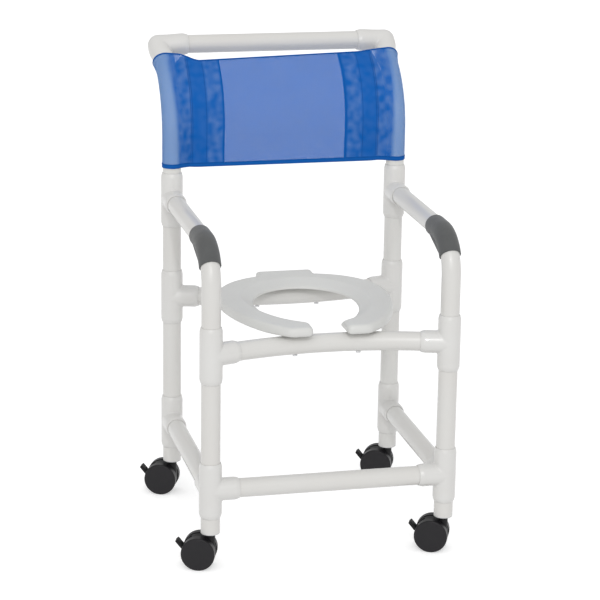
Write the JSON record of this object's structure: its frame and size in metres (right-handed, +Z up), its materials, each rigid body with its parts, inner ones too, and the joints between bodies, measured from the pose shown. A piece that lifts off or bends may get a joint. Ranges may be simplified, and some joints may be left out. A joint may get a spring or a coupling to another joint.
{
  "type": "commode chair",
  "caption": "Wheeled shower and commode chair of white plastic pipe, with an open-front seat, mesh back sling, arm grips and braked twin-wheel casters.",
  "frame": {"origin": "on the floor, under the middle of the whole chair's box", "axes": "+Z up, front of the chair towards -Y, the seated person's left hand towards +X"},
  "size_m": [0.6326, 0.6704, 1.0753],
  "materials": {
    "pipe_plastic": "smooth satin white extruded pipe",
    "fitting_plastic": "smooth satin white moulded fittings",
    "seat_plastic": "smooth moulded light grey-white",
    "grip_foam": "soft dark grey foam",
    "sling_mesh": "open blue woven mesh",
    "wheel_plastic": "smooth near-black nylon",
    "caster_body_plastic": "moulded black nylon, fine grain",
    "socket_plastic": "grey moulded plug",
    "stem_steel": "plated steel",
    "screw_steel": "stainless"
  },
  "bodies": {
    "frame": {"left_rear_lower_tee": "fitting_plastic", "left_rear_seat_tee": "fitting_plastic", "left_arm_tee": "fitting_plastic", "left_top_elbow": "fitting_plastic", "left_front_corner_fitting": "fitting_plastic", "left_front_seat_tee": "fitting_plastic", "left_rear_lower_pipe": "pipe_plastic", "left_rear_upper_pipe": "pipe_plastic", "left_front_lower_pipe": "pipe_plastic", "left_side_rail": "pipe_plastic", "left_back_tube": "pipe_plastic", "left_arm_tube": "pipe_plastic", "left_arm_grip": "grip_foam", "front_left_foot_pipe": "pipe_plastic", "rear_left_foot_pipe": "pipe_plastic", "right_rear_lower_tee": "fitting_plastic", "right_rear_seat_tee": "fitting_plastic", "right_arm_tee": "fitting_plastic", "right_top_elbow": "fitting_plastic", "right_front_corner_fitting": "fitting_plastic", "right_front_seat_tee": "fitting_plastic", "right_rear_lower_pipe": "pipe_plastic", "right_rear_upper_pipe": "pipe_plastic", "right_front_lower_pipe": "pipe_plastic", "right_side_rail": "pipe_plastic", "right_back_tube": "pipe_plastic", "right_arm_tube": "pipe_plastic", "right_arm_grip": "grip_foam", "front_right_foot_pipe": "pipe_plastic", "rear_right_foot_pipe": "pipe_plastic", "front_seat_rail": "pipe_plastic", "rear_seat_rail": "pipe_plastic", "front_lower_rail": "pipe_plastic", "top_rail": "pipe_plastic", "seat": "seat_plastic", "seat_screws": "screw_steel", "back_sling": "sling_mesh", "caster_stems": "stem_steel", "caster_sockets": "socket_plastic"},
    "front_left_caster": {"front_left_hood": "caster_body_plastic", "front_left_axle": "stem_steel"},
    "front_left_near_wheel": {"front_left_wheel_near": "wheel_plastic"},
    "front_left_far_wheel": {"front_left_wheel_far": "wheel_plastic"},
    "front_left_brake": {"front_left_brake_lever": "caster_body_plastic"},
    "front_right_caster": {"front_right_hood": "caster_body_plastic", "front_right_axle": "stem_steel"},
    "front_right_near_wheel": {"front_right_wheel_near": "wheel_plastic"},
    "front_right_far_wheel": {"front_right_wheel_far": "wheel_plastic"},
    "front_right_brake": {"front_right_brake_lever": "caster_body_plastic"},
    "rear_left_caster": {"rear_left_hood": "caster_body_plastic", "rear_left_axle": "stem_steel"},
    "rear_left_near_wheel": {"rear_left_wheel_near": "wheel_plastic"},
    "rear_left_far_wheel": {"rear_left_wheel_far": "wheel_plastic"},
    "rear_left_brake": {"rear_left_brake_lever": "caster_body_plastic"},
    "rear_right_caster": {"rear_right_hood": "caster_body_plastic", "rear_right_axle": "stem_steel"},
    "rear_right_near_wheel": {"rear_right_wheel_near": "wheel_plastic"},
    "rear_right_far_wheel": {"rear_right_wheel_far": "wheel_plastic"},
    "rear_right_brake": {"rear_right_brake_lever": "caster_body_plastic"}
  },
  "joints": [
    {"name": "front_left_swivel", "type": "hinge", "parent": "frame", "child": "front_left_caster", "pos_m": [-0.24107, -0.30371, 0.06], "axis": [0, 0, 1], "continuous": true},
    {"name": "front_left_near_roll", "type": "hinge", "parent": "front_left_caster", "child": "front_left_near_wheel", "pos_m": [-0.26377, -0.2959, 0.0375], "axis": [-0.3256, -0.9455, 0], "continuous": true},
    {"name": "front_left_far_roll", "type": "hinge", "parent": "front_left_caster", "child": "front_left_far_wheel", "pos_m": [-0.26377, -0.2959, 0.0375], "axis": [-0.3256, -0.9455, 0], "continuous": true},
    {"name": "front_left_brake_press", "type": "hinge", "parent": "front_left_caster", "child": "front_left_brake", "pos_m": [-0.28551, -0.28841, 0.045], "axis": [-0.3256, -0.9455, 0], "range_deg": [0, 22]},
    {"name": "front_right_swivel", "type": "hinge", "parent": "frame", "child": "front_right_caster", "pos_m": [0.28893, -0.30371, 0.06], "axis": [0, 0, 1], "continuous": true},
    {"name": "front_right_near_roll", "type": "hinge", "parent": "front_right_caster", "child": "front_right_near_wheel", "pos_m": [0.26683, -0.29434, 0.0375], "axis": [-0.3907, -0.9205, 0], "continuous": true},
    {"name": "front_right_far_roll", "type": "hinge", "parent": "front_right_caster", "child": "front_right_far_wheel", "pos_m": [0.26683, -0.29434, 0.0375], "axis": [-0.3907, -0.9205, 0], "continuous": true},
    {"name": "front_right_brake_press", "type": "hinge", "parent": "front_right_caster", "child": "front_right_brake", "pos_m": [0.24566, -0.28535, 0.045], "axis": [-0.3907, -0.9205, 0], "range_deg": [0, 22]},
    {"name": "rear_left_swivel", "type": "hinge", "parent": "frame", "child": "rear_left_caster", "pos_m": [-0.24107, 0.16629, 0.06], "axis": [0, 0, 1], "continuous": true},
    {"name": "rear_left_near_roll", "type": "hinge", "parent": "rear_left_caster", "child": "rear_left_near_wheel", "pos_m": [-0.26333, 0.17528, 0.0375], "axis": [-0.3746, -0.9272, 0], "continuous": true},
    {"name": "rear_left_far_roll", "type": "hinge", "parent": "rear_left_caster", "child": "rear_left_far_wheel", "pos_m": [-0.26333, 0.17528, 0.0375], "axis": [-0.3746, -0.9272, 0], "continuous": true},
    {"name": "rear_left_brake_press", "type": "hinge", "parent": "rear_left_caster", "child": "rear_left_brake", "pos_m": [-0.28465, 0.18389, 0.045], "axis": [-0.3746, -0.9272, 0], "range_deg": [0, 22]},
    {"name": "rear_right_swivel", "type": "hinge", "parent": "frame", "child": "rear_right_caster", "pos_m": [0.28893, 0.16629, 0.06], "axis": [0, 0, 1], "continuous": true},
    {"name": "rear_right_near_roll", "type": "hinge", "parent": "rear_right_caster", "child": "rear_right_near_wheel", "pos_m": [0.26683, 0.17566, 0.0375], "axis": [-0.3907, -0.9205, 0], "continuous": true},
    {"name": "rear_right_far_roll", "type": "hinge", "parent": "rear_right_caster", "child": "rear_right_far_wheel", "pos_m": [0.26683, 0.17566, 0.0375], "axis": [-0.3907, -0.9205, 0], "continuous": true},
    {"name": "rear_right_brake_press", "type": "hinge", "parent": "rear_right_caster", "child": "rear_right_brake", "pos_m": [0.24566, 0.18465, 0.045], "axis": [-0.3907, -0.9205, 0], "range_deg": [0, 22]}
  ]
}
